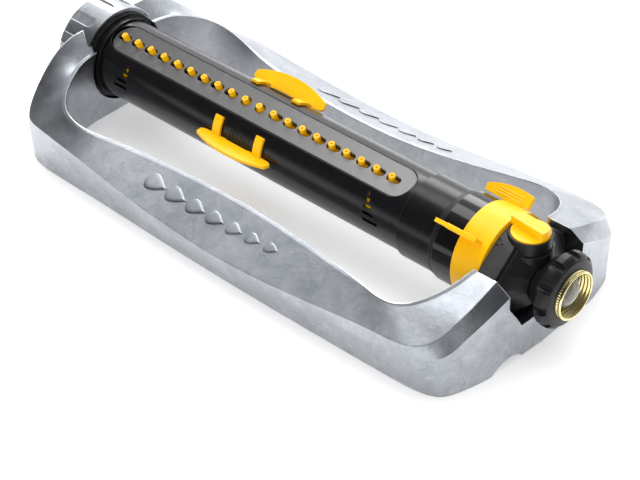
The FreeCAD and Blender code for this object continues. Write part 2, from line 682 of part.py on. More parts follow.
def reversing_rocker():
    """Flap that feeds the jets from either side; its arm reaches up between the rings."""
    hub = cyl_x(4.0, 136.9, 139.7)
    arm = block(136.9, 139.7, -1.6, 1.6, AXIS_Z + 3, AXIS_Z + 26.0)
    body = hub.fuse(arm)
    for angle in (90.0, 270.0):
        web = turned(block(136.9, 139.7, -2.2, 2.2, AXIS_Z + 3, AXIS_Z + 14), angle)
        vane = turned(block(127.6, 139.7, -2.2, 2.2, AXIS_Z + 12.2, AXIS_Z + 15.8), angle)
        body = body.fuse(web).fuse(vane)
    return body.cut(cyl_x(1.5 + FIT, 130.0, 145.0))


def toggle_spring():
    """Small coil spring between the rocker's foot and the chamber floor."""
    helix = Part.makeHelix(1.5, 9.0, 2.2)
    profile = Part.Wire(Part.makeCircle(0.35, Vector(2.2, 0, 0), Vector(0, 1, 0)))
    spring = Part.Wire(helix.Edges).makePipeShell([profile], True, True)
    spring.translate(Vector(143.5, 0, AXIS_Z - 19.5))
    return spring


# ---------------------------------------------------------------- fixed end

def seal_band():
    return ring_x(26.6, 23.2, HOUSING_X1 + GAP, COLLAR_X0 - 0.2)


def collar():
    body = ring_x(COLLAR_R, BARREL_R + 0.05, BARREL_X0 - 2, COLLAR_X1)
    lip = ring_x(COLLAR_R, 23.2, COLLAR_X0, BARREL_X0 - 0.2)
    return body.fuse(lip)


def tab_outline():
    """Outline of a range tab in X and radius: curved outer edge, pointed wing."""
    points = [Vector(TAB_X1, 0, 27.2), Vector(TAB_X1, 0, 37.4), Vector(TAB_X0, 0, 33.4),
              Vector(TAB_X0 + 0.8, 0, 29.2), Vector(TAB_X0 + 12, 0, 28.9)]
    edges = [Part.makeLine(points[0], points[1]),
             Part.Arc(points[1], Vector((TAB_X0 + TAB_X1) / 2, 0, TAB_R), points[2]).toShape(),
             Part.makeLine(points[2], points[3]),
             Part.makeLine(points[3], points[4])]
    corner = Vector(TAB_X0 + 16.6, 0, 27.2)
    edges.append(Part.makeLine(points[4], corner))
    edges.append(Part.makeLine(corner, points[0]))
    return Part.Wire(edges)


def range_ring(x0, x1, radius, angle):
    ring = ring_x(radius, BARREL_R + 0.1, x0, x1)
    tab = Part.Face(tab_outline()).extrude(Vector(0, 2.4, 0))
    tab.translate(Vector(0, -1.2, AXIS_Z))
    # outside its own ring the tab stands just clear of the collar and the other ring
    clear = ((COLLAR_X0 - 3, COLLAR_X1, COLLAR_R), (COLLAR_X1, x0, RING_R_FRONT),
             (x1, RING_X1 + 2, RING_R_FRONT))
    for start, end, other in clear:
        tab = tab.cut(cyl_x(other + GAP + 0.2, start, end))
    for k in range(3):
        z = AXIS_Z + 31.2 + 1.7 * k
        for y in (-1.2, 1.2):
            tab = tab.fuse(cyl_x(0.35, 121.0, 138.0, y, z))
    recess = ring_x(BARREL_R + 1.9, BARREL_R - 1, 136.5, 140.1)
    lug = sector(BARREL_R + 2.0, BARREL_R + 0.1, x0, x1, *sorted((angle * 0.9, angle * 1.1)))
    return ring.cut(recess).fuse(lug).fuse(turned(tab, angle))


def tent_points(radius):
    """Arched section: round top with straight flanks down to the notch's sides."""
    flank = (radius - BLOCK_HALF * math.sin(math.radians(TENT_ANGLE))) / math.cos(math.radians(TENT_ANGLE))
    left = Vector(0, -BLOCK_HALF, AXIS_Z + flank)
    right = Vector(0, BLOCK_HALF, AXIS_Z + flank)
    return left, point_at(radius, TENT_ANGLE), point_at(radius, 0), point_at(radius, -TENT_ANGLE), right


def tent(radius, x0, x1, lower):
    """Arched prism closed below by the given corner points."""
    left, start, top, end, right = tent_points(radius)
    corners = [right] + [Vector(0, y, z) for y, z in lower] + [left]
    edges = [Part.makeLine(left, start), Part.Arc(start, top, end).toShape(), Part.makeLine(end, right)]
    edges += [Part.makeLine(a, b) for a, b in zip(corners, corners[1:])]
    body = Part.Face(Part.Wire(edges)).extrude(Vector(x1 - x0, 0, 0))
    body.translate(Vector(x0, 0, 0))
    return body


def inlet_cover():
    lower = ((BLOCK_HALF, 45.0), (-BLOCK_HALF, 45.0))
    shell = tent(COVER_R, COVER_X0, COVER_X1, lower)
    shell = shell.cut(tent(COVER_R - 1.6, COVER_X0 - 1, COVER_X1 + 1, lower))
    return shell.cut(cyl_z(CUP_R + GAP, 40, 90, KNOB_X))


def inlet_body():
    lower = ((BLOCK_HALF, 42.2), (20.0, 24.3), (-20.0, 24.3), (-BLOCK_HALF, 42.2))
    body = tent(COVER_R - 1.8, COVER_X0, BLOCK_X1, lower)
    body = body.fuse(cyl_x(BARREL_R, BARREL_X0, BARREL_X1))
    body = body.fuse(cyl_x(THROAT_R, BARREL_X1 - 1, COVER_X0 + 1))
    # facets from the block down to the round neck
    wide = [(10.5, 24.8), (24.0, 12.6), (BLOCK_HALF, 4.6), (BLOCK_HALF, -1.0), (20.0, -18.9)]
    wide += [(-y, z) for y, z in reversed(wide)]
    near = [Vector(BLOCK_X1, y, AXIS_Z + z) for y, z in wide]
    far = []
    for y, z in wide:
        a = math.atan2(y, z)
        far.append(Vector(NECK_X - 3.0, 15.6 * math.sin(a), AXIS_Z + 15.6 * math.cos(a)))
    wires = [Part.makePolygon(ps + ps[:1]) for ps in (near, far)]
    body = body.fuse(Part.makeLoft(wires, True, True))
    body = body.fuse(cyl_x(12.0, NECK_X - 4, 180.3)).fuse(cyl_x(13.0, 180.3, 182.3))
    body = body.fuse(cyl_z(CUP_R + 1.2, 50, 62.0, KNOB_X))
    # water way, valve bore and knob pocket
    body = body.cut(cyl_x(BARREL_BORE, BARREL_X0 - 1, 147.0))
    body = body.cut(cyl_x(FLOW_BORE, 146, 190))
    body = body.cut(cyl_z(7.0 + FIT, 33.0, 60.0, KNOB_X))
    body = body.cut(cyl_z(CUP_R + FIT, 58.0, 90.0, KNOB_X))
    # slot for the rocker's arm
    body = body.cut(sector(30, 20, 136.0, 140.6, -18.0, 18.0))
    for x, y in INLET_SCREWS:
        body = body.cut(cyl_z(1.5, 20, 34.5, x, y))
    return body


def knob_cup():
    cup = cyl_z(CUP_R, 58.0, CUP_TOP, KNOB_X).cut(cyl_z(KNOB_R + GAP, 60.0, 90.0, KNOB_X))
    return cup.cut(cyl_z(5.0 + FIT, 50.0, 70.0, KNOB_X))


def flow_knob():
    knob = cyl_z(KNOB_R, 66.0, KNOB_TOP, KNOB_X)
    knob = knob.fuse(cyl_z(5.0, 54.0, 67.0, KNOB_X))
    # thick pointer across the rear half, its end following the disc
    span = block(KNOB_X - KNOB_BAR_R, KNOB_X, *KNOB_BAR_Y, KNOB_TOP, KNOB_BAR_TOP)
    tail = block(KNOB_X, KNOB_X + KNOB_R, *KNOB_BAR_Y, KNOB_TOP, KNOB_BAR_TOP)
    bar = span.common(cyl_z(KNOB_BAR_R, 60, 90, KNOB_X)).fuse(tail.common(cyl_z(KNOB_R, 60, 90, KNOB_X)))
    bar.rotate(Vector(KNOB_X, 0, 0), Vector(0, 0, 1), KNOB_BAR_TURN)
    return knob.fuse(bar).cut(cyl_z(1.2, 50, 62, KNOB_X))


def valve_plug():
    plug = cyl_z(7.0, 34.0, 53.8, KNOB_X)
    plug = plug.cut(cyl_x(6.0, KNOB_X - 10, KNOB_X + 10))
    plug = plug.cut(cyl_z(30, 51.0, 53.2, KNOB_X).cut(cyl_z(5.8, 50, 54, KNOB_X)))
    return plug


def valve_oring():
    return torus_z(6.4, 0.6, KNOB_X, 52.1)


def revolved(profile):
    """Solid of revolution about the tube axis from (x, radius) corners."""
    corners = [Vector(profile[0][0], 0, AXIS_Z)] + [Vector(x, 0, AXIS_Z + r) for x, r in profile]
    corners.append(Vector(profile[-1][0], 0, AXIS_Z))
    face = Part.Face(Part.makePolygon(corners + corners[:1]))
    return face.revolve(Vector(0, 0, AXIS_Z), Vector(1, 0, 0), 360)


def hose_nut():
    profile = ((NUT_X0, 16.8), (NUT_X0 + 4.8, 20.6), (NUT_X0 + 5.6, 22.3), (NUT_X0 + 6.6, NUT_R),
               (NUT_X1 - 4.4, NUT_R), (NUT_X1 - 3.0, 22.2), (NUT_X1 - 1.8, 20.8), (NUT_X1 - 0.9, 19.4),
               (NUT_X1 - 0.3, 17.0), (NUT_X1, 15.6))
    nut = revolved(profile)
    for k in range(NUT_LOBES):
        floor = AXIS_Z + NUT_R - NUT_SCOOP_DEEP + NUT_SCOOP_R
        scoop = cyl_x(NUT_SCOOP_R, NUT_X0 + 3.5, NUT_X1 - 1.6, 0, floor)
        mouth = block(NUT_X0 + 3.5, NUT_X1 - 1.6, -NUT_SCOOP_R, NUT_SCOOP_R, floor, floor + NUT_R)
        scoop = scoop.fuse(mouth)
        nut = nut.cut(turned(scoop, NUT_SCOOP_AT + k * 360.0 / NUT_LOBES))
    nut = nut.cut(cyl_x(INSERT_R, INSERT_X0, NUT_X1 + 1))
    return nut.cut(cyl_x(12.0 + FIT, NUT_X0 - 1, INSERT_X0 + 1))


def brass_insert():
    body = ring_x(INSERT_R, INSERT_BORE, INSERT_X0, INSERT_X1)
    return body.cut(cyl_x(INSERT_BORE + 0.4, INSERT_X0 - 1, THREAD_X0))


def hose_washer():
    return ring_x(INSERT_BORE + 0.2, 8.5, 182.5, 184.6)


def inlet_filter():
    """Woven cap with a flat rim, made as a thin shell."""
    rim = ring_x(12.6, 7.0, 184.7, 185.3)
    middle = Vector(173.9, 0, AXIS_Z)
    cap = Part.makeSphere(12.0, middle).cut(Part.makeSphere(11.5, middle))
    return rim.fuse(cap.common(cyl_x(8.0, 182.6, 190)).cut(ring_x(12, 7.2, 180, 184.7)))


def pan_screw(x, y, z_head, length, shank, head, up=True):
    sign = 1 if up else -1
    direction = Vector(0, 0, sign)
    screw = Part.makeCylinder(shank, length, Vector(x, y, z_head), direction)
    return screw.fuse(Part.makeCylinder(head, 2.0, Vector(x, y, z_head - sign * 2.0), direction))


def inlet_screws():
    return Part.makeCompound([pan_screw(x, y, 17.5, 16.5, 1.5, 3.2) for x, y in INLET_SCREWS])


PARTS = {
    "base_frame": base_frame,
    "far_bearing": far_bearing,
    "end_cap": end_cap,
    "end_thrust_washer": end_thrust_washer,
    "tube_shell": tube_shell,
    "top_plate": top_plate,
    "nozzle_strip": nozzle_strip,
    "water_tube": water_tube,
    "water_tube_plug": water_tube_plug,
    "water_tube_plug_ring": water_tube_plug_ring,
    "manifold_flange": manifold_flange,
    "width_sleeve": width_sleeve,
    "front_width_slider": lambda: width_slider(1),
    "rear_width_slider": lambda: width_slider(-1),
    "width_indicator": width_indicator,
    "far_nozzle_comb": lambda: nozzle_comb(0, COMB_PIN_X[0]),
    "near_nozzle_comb": lambda: nozzle_comb(NOZZLES - COMB_NOZZLES, COMB_PIN_X[1]),
    "drive_housing": drive_housing,
    "ring_gear": ring_gear,
    "turbine_shaft": turbine_shaft,
    "turbine_wheel": turbine_wheel,
    "idler_gear": idler_gear,
    "idler_pin": idler_pin,
    "output_gear": output_gear,
    "output_pinion": output_pinion,
    "inlet_gear_plate": lambda: gear_plate(112.0, 114.0, 1.3 + FIT),
    "tube_gear_plate": lambda: gear_plate(92.0, 94.0, 1.3 + FIT),
    "motor_case": motor_case,
    "main_seal": main_seal,
    "stator_plate": stator_plate,
    "reversing_rocker": reversing_rocker,
    "toggle_spring": toggle_spring,
    "seal_band": seal_band,
    "collar": collar,
    "rear_range_ring": lambda: range_ring(COLLAR_X1 + GAP, 138.0, RING_R_REAR, -TAB_ANGLE),
    "front_range_ring": lambda: range_ring(138.3, RING_X1, RING_R_FRONT, TAB_ANGLE),
    "inlet_cover": inlet_cover,
    "inlet_body": inlet_body,
    "knob_cup": knob_cup,
    "flow_knob": flow_knob,
    "valve_plug": valve_plug,
    "valve_oring": valve_oring,
    "hose_nut": hose_nut,
    "brass_insert": brass_insert,
    "hose_washer": hose_washer,
    "inlet_filter": inlet_filter,
    "inlet_screws": inlet_screws,
}

for name, make in PARTS.items():
    export(name, make())
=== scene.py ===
import json
import math

import bmesh
import bpy
from mathutils import Matrix, Vector
from mathutils.bvhtree import BVHTree


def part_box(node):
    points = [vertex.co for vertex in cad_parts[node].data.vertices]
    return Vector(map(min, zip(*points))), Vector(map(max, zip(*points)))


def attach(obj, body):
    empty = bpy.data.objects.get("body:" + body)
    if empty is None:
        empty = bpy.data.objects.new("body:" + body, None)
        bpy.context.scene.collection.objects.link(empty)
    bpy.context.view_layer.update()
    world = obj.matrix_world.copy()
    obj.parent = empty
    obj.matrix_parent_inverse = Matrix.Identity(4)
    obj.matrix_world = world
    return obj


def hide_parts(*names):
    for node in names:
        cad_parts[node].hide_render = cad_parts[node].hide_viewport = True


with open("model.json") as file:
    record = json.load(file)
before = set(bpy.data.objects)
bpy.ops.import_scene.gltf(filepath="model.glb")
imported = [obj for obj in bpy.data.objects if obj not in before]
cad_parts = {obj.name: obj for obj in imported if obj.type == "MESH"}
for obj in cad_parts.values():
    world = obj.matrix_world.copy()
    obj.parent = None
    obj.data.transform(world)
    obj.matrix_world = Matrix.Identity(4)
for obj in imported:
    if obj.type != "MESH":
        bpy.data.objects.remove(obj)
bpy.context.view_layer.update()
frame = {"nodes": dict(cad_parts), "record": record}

MM = 0.001
AXIS_Z = 43.2 * MM                      # height of the spray tube's axis


# ------------------------------------------------------------------ materials

GRAIN = 0.0009                          # size of the grain on moulded plastic
EDGE_SOFTNESS = 0.0005                  # radius that moulded edges are shaded with
# painted reflection on the grey plate: how fast it lightens along x, and its middle level
PAINTED_PLATE_REFLECTION_RISE = 4.0                   # per metre along the plate
PAINTED_PLATE_REFLECTION_MIDDLE = 0.65
PAINTED_YELLOW_GLOW = (1.0, 0.50, 0.0, 1.0)     # painted glow: emission that keeps the yellow parts bright on their shaded sides


class Look:
    """A node material under construction, in object coordinates in metres."""

    def __init__(self, name):
        self.material = bpy.data.materials.new(name)
        self.material.use_nodes = True
        self.tree = self.material.node_tree
        self.shader = self.tree.nodes["Principled BSDF"]
        self.place = self.node("ShaderNodeTexCoord").outputs["Object"]

    def node(self, kind, **values):
        made = self.tree.nodes.new(kind)
        for key, value in values.items():
            setattr(made, key, value)
        return made

    def link(self, source, target):
        self.tree.links.new(source, target)

    def set(self, **values):
        for key, value in values.items():
            self.shader.inputs[key.replace("_", " ")].default_value = value

    def scaled(self, sx, sy, sz):
        made = self.node("ShaderNodeMapping")
        made.inputs["Scale"].default_value = (sx, sy, sz)
        self.link(self.place, made.inputs["Vector"])
        return made.outputs["Vector"]

    def noise(self, size, detail=4.0, rough=0.55, vector=None, warp=0.0):
        """Noise whose features are about that many metres across."""
        made = self.node("ShaderNodeTexNoise")
        made.inputs["Scale"].default_value = 1.0 / size
        made.inputs["Detail"].default_value = detail
        made.inputs["Roughness"].default_value = rough
        made.inputs["Distortion"].default_value = warp
        self.link(vector or self.place, made.inputs["Vector"])
        return made.outputs["Fac"]

    def cells(self, size):
        made = self.node("ShaderNodeTexVoronoi")
        made.inputs["Scale"].default_value = 1.0 / size
        self.link(self.place, made.inputs["Vector"])
        return made.outputs["Distance"]

    def ramp(self, source, *stops):
        """Colour ramp through (position, colour or number) stops."""
        made = self.node("ShaderNodeValToRGB")
        marks = made.color_ramp.elements
        while len(marks) < len(stops):
            marks.new(0.5)
        for mark, (position, value) in zip(marks, stops):
            mark.position = position
            shade = value if isinstance(value, (tuple, list)) else (value,) * 3
            mark.color = (*shade[:3], 1.0)
        self.link(source, made.inputs["Fac"])
        return made.outputs["Color"]

    def mix(self, amount, a, b, blend="MIX"):
        made = self.node("ShaderNodeMix", data_type="RGBA", blend_type=blend)
        for value, name in ((amount, 0), (a, 6), (b, 7)):
            target = made.inputs[name]
            if isinstance(value, bpy.types.NodeSocket):
                self.link(value, target)
            elif name == 0:
                target.default_value = value
            else:
                target.default_value = (*value[:3], 1.0)
        return made.outputs[2]

    def math(self, operation, a, b=0.0):
        made = self.node("ShaderNodeMath", operation=operation)
        for k, value in enumerate((a, b)):
            if isinstance(value, bpy.types.NodeSocket):
                self.link(value, made.inputs[k])
            else:
                made.inputs[k].default_value = value
        return made.outputs[0]

    def edges(self, radius, low=0.0, high=0.06):
        """1 along convex and concave edges, 0 on open faces."""
        soft = self.node("ShaderNodeBevel", samples=6)
        soft.inputs["Radius"].default_value = radius
        flat = self.node("ShaderNodeNewGeometry")
        dot = self.node("ShaderNodeVectorMath", operation="DOT_PRODUCT")
        self.link(soft.outputs["Normal"], dot.inputs[0])
        self.link(flat.outputs["Normal"], dot.inputs[1])
        turn = self.math("SUBTRACT", 1.0, dot.outputs["Value"])
        return self.ramp(turn, (low, 0.0), (high, 1.0))

    def bump(self, height, distance, strength=1.0, below=None):
        made = self.node("ShaderNodeBump")
        made.inputs["Distance"].default_value = distance
        made.inputs["Strength"].default_value = strength
        self.link(height, made.inputs["Height"])
        if below is not None:
            self.link(below, made.inputs["Normal"])
        return made.outputs["Normal"]

    def rounded(self, radius):
        """Normals rounded off at sharp edges."""
        soft = self.node("ShaderNodeBevel", samples=6)
        soft.inputs["Radius"].default_value = radius
        return soft.outputs["Normal"]

    def finish(self, colour=None, rough=None, normal=None):
        if colour is not None:
            self.link(colour, self.shader.inputs["Base Color"])
        if rough is not None:
            self.link(rough, self.shader.inputs["Roughness"])
        if normal is not None:
            self.link(normal, self.shader.inputs["Normal"])
        return self.material


def cast_metal():
    """Die casting: soft bluish clouds, thin flow marks, fine pitting, and a painted highlight lightening
    its convex and concave edges.
    """
    look = Look("cast_metal")
    clouds = look.noise(0.022, 5, 0.6, warp=0.8)
    patches = look.noise(0.0055, 5, 0.62, warp=0.4)
    specks = look.noise(0.0009, 3, 0.65)
    flow = look.noise(0.04, 4, 0.55, warp=1.2)
    base = look.ramp(clouds, (0.30, (0.32, 0.34, 0.38)), (0.5, (0.39, 0.41, 0.44)),
                     (0.72, (0.48, 0.495, 0.52)))
    base = look.mix(look.ramp(patches, (0.5, 0.0), (0.78, 0.45)), base, (0.60, 0.61, 0.63))
    base = look.mix(look.ramp(patches, (0.24, 0.38), (0.40, 0.0)), base, (0.24, 0.26, 0.30))
    base = look.mix(look.ramp(specks, (0.30, 0.35), (0.45, 0.0)), base, (0.26, 0.27, 0.30))
    veins = look.ramp(flow, (0.47, 0.0), (0.485, 0.45), (0.50, 0.0),
                      (0.565, 0.0), (0.575, 0.3), (0.585, 0.0))
    veins = look.math("MULTIPLY", veins, look.ramp(patches, (0.35, 0.1), (0.6, 1.0)))
    base = look.mix(veins, base, (0.20, 0.215, 0.24))
    # painted highlight: convex and concave edges lightened to near white, with lower roughness
    highlight_edge = look.edges(0.0008, 0.015, 0.11)
    base = look.mix(look.math("MULTIPLY", highlight_edge, 0.85), base, (0.93, 0.94, 0.95))
    rough = look.ramp(clouds, (0.3, 0.30), (0.7, 0.42))
    rough = look.mix(look.math("MULTIPLY", highlight_edge, 0.6), rough, (0.22, 0.22, 0.22))
    normal = look.bump(patches, 0.00014, 0.7, look.rounded(0.0008))
    normal = look.bump(specks, 0.00005, 0.8, normal)
    look.set(Metallic=1.0)
    return look.finish(base, rough, normal)


def moulded(name, colour, rough, depth=0.00003, spread=0.12, edge_light=0.1, **extra):
    """Moulded plastic: fine grain, faint clouding and a painted highlight along its convex and concave
    edges.
    """
    look = Look(name)
    clouds = look.noise(0.02, 4, 0.5)
    fine = look.noise(GRAIN, 3, 0.6)
    darker = tuple(c * (1 - spread) for c in colour)
    lighter = tuple(min(1.0, c * (1 + spread)) for c in colour)
    base = look.ramp(clouds, (0.3, darker), (0.7, lighter))
    # painted highlight: colour lifted towards white along convex and concave edges
    highlight_edge = look.edges(0.0006, 0.01, 0.12)
    edge_highlight_colour = tuple(min(1.0, c + edge_light * (1 - c)) for c in colour)
    base = look.mix(look.math("MULTIPLY", highlight_edge, 0.6), base, edge_highlight_colour)
    roughness = look.ramp(look.noise(0.006, 4, 0.6), (0.3, rough * 0.88), (0.7, min(1.0, rough * 1.15)))
    normal = look.bump(fine, depth, 0.6, look.rounded(EDGE_SOFTNESS))
    look.set(**extra)
    return look.finish(base, roughness, normal)


def plate_grey():
    """Matte grey plate with a painted reflection: it lightens along its length towards the inlet."""
    look = Look("grey_plastic")
    along = look.node("ShaderNodeSeparateXYZ")
    look.link(look.place, along.inputs[0])
    # painted reflection: base colour lightens along x towards the inlet
    way = look.math("MULTIPLY_ADD", along.outputs["X"], PAINTED_PLATE_REFLECTION_RISE)
    way.node.inputs[2].default_value = PAINTED_PLATE_REFLECTION_MIDDLE
    base = look.ramp(way, (0.0, 0.055), (0.5, 0.12), (1.0, 0.24))
    flow = look.noise(0.006, 5, 0.6, warp=1.5)
    base = look.mix(look.ramp(flow, (0.55, 0.0), (0.8, 0.35)), base, (0.30, 0.30, 0.30))
    rough = look.ramp(look.noise(0.004, 4, 0.6), (0.3, 0.40), (0.7, 0.54))
    normal = look.bump(look.noise(0.0007, 3, 0.6), 0.00003, 0.6, look.rounded(0.0004))
    return look.finish(base, rough, normal)


def turned_brass():
    """Bright brass with fine turning marks."""
    look = Look("turned_brass")
    tint = look.noise(0.004, 4, 0.55)
    base = look.ramp(tint, (0.3, (0.76, 0.64, 0.27)), (0.7, (0.90, 0.80, 0.44)))
    rings = look.node("ShaderNodeTexNoise")
    rings.inputs["Scale"].default_value = 1.0
    rings.inputs["Detail"].default_value = 2.0
    look.link(look.scaled(6000, 120, 120), rings.inputs["Vector"])
    rough = look.ramp(tint, (0.3, 0.14), (0.7, 0.24))
    normal = look.bump(rings.outputs["Fac"], 0.00002, 0.6, look.rounded(0.0003))
    look.set(Metallic=1.0)
    return look.finish(base, rough, normal)


def wire_steel():
    """Fine drawn wire, slightly dulled."""
    look = Look("wire_steel")
    tint = look.noise(0.0015, 3, 0.6)
    base = look.ramp(tint, (0.3, (0.60, 0.57, 0.53)), (0.7, (0.84, 0.80, 0.75)))
    rough = look.ramp(tint, (0.3, 0.28), (0.7, 0.42))
    normal = look.bump(look.noise(0.0004, 2, 0.5), 0.00002, 0.5)
    look.set(Metallic=0.7)
    return look.finish(base, rough, normal)


def grained_cover():
    """Dark grey plastic with a coarse sparkling grain."""
    look = Look("grained_cover")
    grain = look.noise(0.0008, 3, 0.7)
    cells = look.cells(0.0006)
    clouds = look.noise(0.01, 4, 0.55)
    base = look.ramp(clouds, (0.3, (0.030, 0.030, 0.031)), (0.7, (0.052, 0.052, 0.054)))
    base = look.mix(look.ramp(cells, (0.0, 0.35), (0.5, 0.0)), base, (0.095, 0.095, 0.097))
    rough = look.ramp(grain, (0.3, 0.42), (0.7, 0.62))
    normal = look.bump(cells, 0.00012, 0.8, look.rounded(0.0006))
    normal = look.bump(grain, 0.0001, 0.7, normal)
    return look.finish(base, rough, normal)


LOOKS = {
    "cast_metal": cast_metal(),
    "black_plastic": moulded("black_plastic", (0.0055, 0.0052, 0.0062), 0.24, depth=0.000005,
                             edge_light=0.05, Specular_IOR_Level=0.32),
    "gloss_black_plastic": moulded("gloss_black_plastic", (0.004, 0.004, 0.0045), 0.11, depth=0.000003,
                                   edge_light=0.05, Specular_IOR_Level=0.4),
    "matte_black_plastic": moulded("matte_black_plastic", (0.010, 0.0098, 0.0112), 0.38, depth=0.00003,
                                   edge_light=0.06, Specular_IOR_Level=0.3),
    "textured_plastic": grained_cover(),
    "grey_plastic": plate_grey(),
    # painted glow: the yellow plastic and rubber emit light
    "yellow_plastic": moulded("yellow_plastic", (0.94, 0.50, 0.0012), 0.36, depth=0.00002, spread=0.04,
                              Emission_Color=PAINTED_YELLOW_GLOW, Emission_Strength=0.16, Specular_IOR_Level=0.3),
    "yellow_rubber": moulded("yellow_rubber", (0.94, 0.48, 0.0012), 0.5, depth=0.00003, spread=0.05,
                             Emission_Color=PAINTED_YELLOW_GLOW, Emission_Strength=0.12, Specular_IOR_Level=0.3),
    "white_plastic": moulded("white_plastic", (0.74, 0.73, 0.69), 0.4),
    "black_rubber": moulded("black_rubber", (0.016, 0.016, 0.016), 0.6, depth=0.00005),
    "brass": turned_brass(),
    "steel": wire_steel(),
}


def paint(piece, slot):
    piece.data.materials.clear()
    piece.data.materials.append(LOOKS[slot])


for part in frame["record"]["subparts"]:
    paint(frame["nodes"][part["node"]], part["material_slot"])


# ------------------------------------------------------------------ pieces

def piece(name, points, faces, slot, body):
    """Smooth mesh object with a material, carried by a body."""
    mesh = bpy.data.meshes.new(name)
    mesh.from_pydata(points, [], faces)
    work = bmesh.new()
    work.from_mesh(mesh)
    bmesh.ops.recalc_face_normals(work, faces=work.faces)
    work.to_mesh(mesh)
    work.free()
    mesh.shade_smooth()
    made = bpy.data.objects.new(name, mesh)
    bpy.context.collection.objects.link(made)
    paint(made, slot)
    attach(made, body)
    return made


def round_axis(x, radius, angle):
    """Point in metres at an angle round the tube axis, from x and radius in millimetres."""
    return Vector((x * MM, -radius * MM * math.sin(angle), AXIS_Z + radius * MM * math.cos(angle)))


def swept_rings(rings, sides):
    """Closed skin through rings given as functions of the angle returning (x, radius)."""
    points = [round_axis(*ring(2 * math.pi * k / sides), 2 * math.pi * k / sides)
              for ring in rings for k in range(sides)]
    faces = []
    for r in range(len(rings)):
        here, there = r * sides, (r + 1) % len(rings) * sides
        for k in range(sides):
            nxt = (k + 1) % sides
            faces.append((here + k, here + nxt, there + nxt, there + k))
    return points, faces


THREAD_PITCH = 2.2                      # these and the piece sizes below are in millimetres
THREAD_DEPTH = 0.9
THREAD_LENGTH = 8.0
THREAD_STEPS = 34
KNURLS = 60


def brass_insert():
    """Turned insert with the hose thread cut inside and a knurled band behind its lip."""
    low, high = (v.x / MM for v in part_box("brass_insert"))
    bore, outer, relief, lip = 12.9, 14.9, 13.3, 0.7

    def plain(x, radius):
        return lambda angle: (x, radius)

    def threaded(x):
        return lambda angle: (x, bore + THREAD_DEPTH * (0.5 + 0.5 * math.cos(
            2 * math.pi * x / THREAD_PITCH - angle)))

    def knurled(x):
        return lambda angle: (x, outer - 0.25 + 0.2 * math.cos(KNURLS * angle))

    thread_from, thread_to = high - THREAD_LENGTH, high - lip
    rings = [plain(low, relief), plain(thread_from - 0.3, relief)]
    rings += [threaded(thread_from + (thread_to - thread_from) * k / THREAD_STEPS)
              for k in range(THREAD_STEPS + 1)]
    rings += [plain(high - 0.3, relief + 0.2), plain(high, relief + lip), plain(high, outer - 0.6),
              plain(high - 0.2, outer - 0.2), plain(high - 0.6, outer), plain(high - 1.3, outer),
              plain(high - 1.4, outer - 0.3)]
    rings += [knurled(high - 1.6), knurled(high - 3.0)]
    rings += [plain(high - 3.2, outer - 0.1), plain(low, outer - 0.1)]
    made = piece("brass_thread_insert", *swept_rings(rings, 4 * KNURLS), "brass", "hose_coupling")
    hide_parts("brass_insert")


WIRE_PITCH = 0.72
WIRE_THICKNESS = 0.34
WEAVE = 0.12                            # each wire rises and dips by this much


def filter_dome():
    """Woven wire dome and its flat rim."""
    reach, height, foot = 9.4, 7.0, 185.6
    count = int(reach / WIRE_PITCH) + 1
    index, points, faces = {}, [], []
    for i in range(-count, count + 1):
        for j in range(-count, count + 1):
            away = math.hypot(i, j) * WIRE_PITCH
            if away < reach:
                weave = WEAVE if (i + j) % 2 else -WEAVE
                x = foot + height * math.sqrt(1 - (away / reach) ** 2) + weave
                index[i, j] = len(points)
                points.append((x * MM, i * WIRE_PITCH * MM, AXIS_Z + j * WIRE_PITCH * MM))
    for i, j in index:
        corners = [(i, j), (i + 1, j), (i + 1, j + 1), (i, j + 1)]
        if all(c in index for c in corners):
            faces.append([index[c] for c in corners])
    dome = piece("filter_weave", points, faces, "steel", "hose_coupling")
    wires = dome.modifiers.new("wires", "WIREFRAME")
    wires.thickness = WIRE_THICKNESS * MM
    wires.use_even_offset = False
    profile = ((184.8, 8.6), (184.8, 12.4), (185.0, 12.6), (185.4, 12.5),
               (185.7, 9.6), (186.4, 9.1), (185.8, 8.8))
    rings = [lambda angle, corner=corner: corner for corner in profile]
    piece("filter_rim", *swept_rings(rings, 64), "steel", "hose_coupling")
    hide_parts("inlet_filter")


def teardrop(length, width, sides=28):
    """Outline of a drop, pointed towards +u."""
    outline = []
    for k in range(sides):
        t = 2 * math.pi * k / sides
        side = math.sin(t) * math.sin(t / 2) ** 1.5
        outline.append((length / 2 * math.cos(t), width / 2 * 1.2 * side))
    return outline


RELIEF_LEVELS = ((1.04, -0.25), (1.0, 0.25), (0.94, 0.62), (0.82, 0.78), (0.5, 0.86))   # scale, lift
RAIL_DROPS = 7
DROP_SPACING = 8.4                      # from the end of one drop to the middle of the next
SKY = 0.12                              # height that points are dropped on to the casting from
COVER_RADIUS = 26.8


def relief_rows(shapes, place):
    """Low raised shapes; place(u, v, lift) gives a point on the surface lifted off it."""
    points, faces = [], []
    for outline, u0, v0 in shapes:
        first, sides = len(points), len(outline)
        for scale, lift in RELIEF_LEVELS:
            points += [place(u0 + u * scale, v0 + v * scale, lift) for u, v in outline]
        points.append(place(u0, v0, RELIEF_LEVELS[-1][1]))
        for level in range(len(RELIEF_LEVELS) - 1):
            here = first + level * sides
            for k in range(sides):
                nxt = (k + 1) % sides
                faces.append((here + k, here + nxt, here + sides + nxt, here + sides + k))
        last = first + (len(RELIEF_LEVELS) - 1) * sides
        faces += [(last + k, last + (k + 1) % sides, len(points) - 1) for k in range(sides)]
    return points, faces


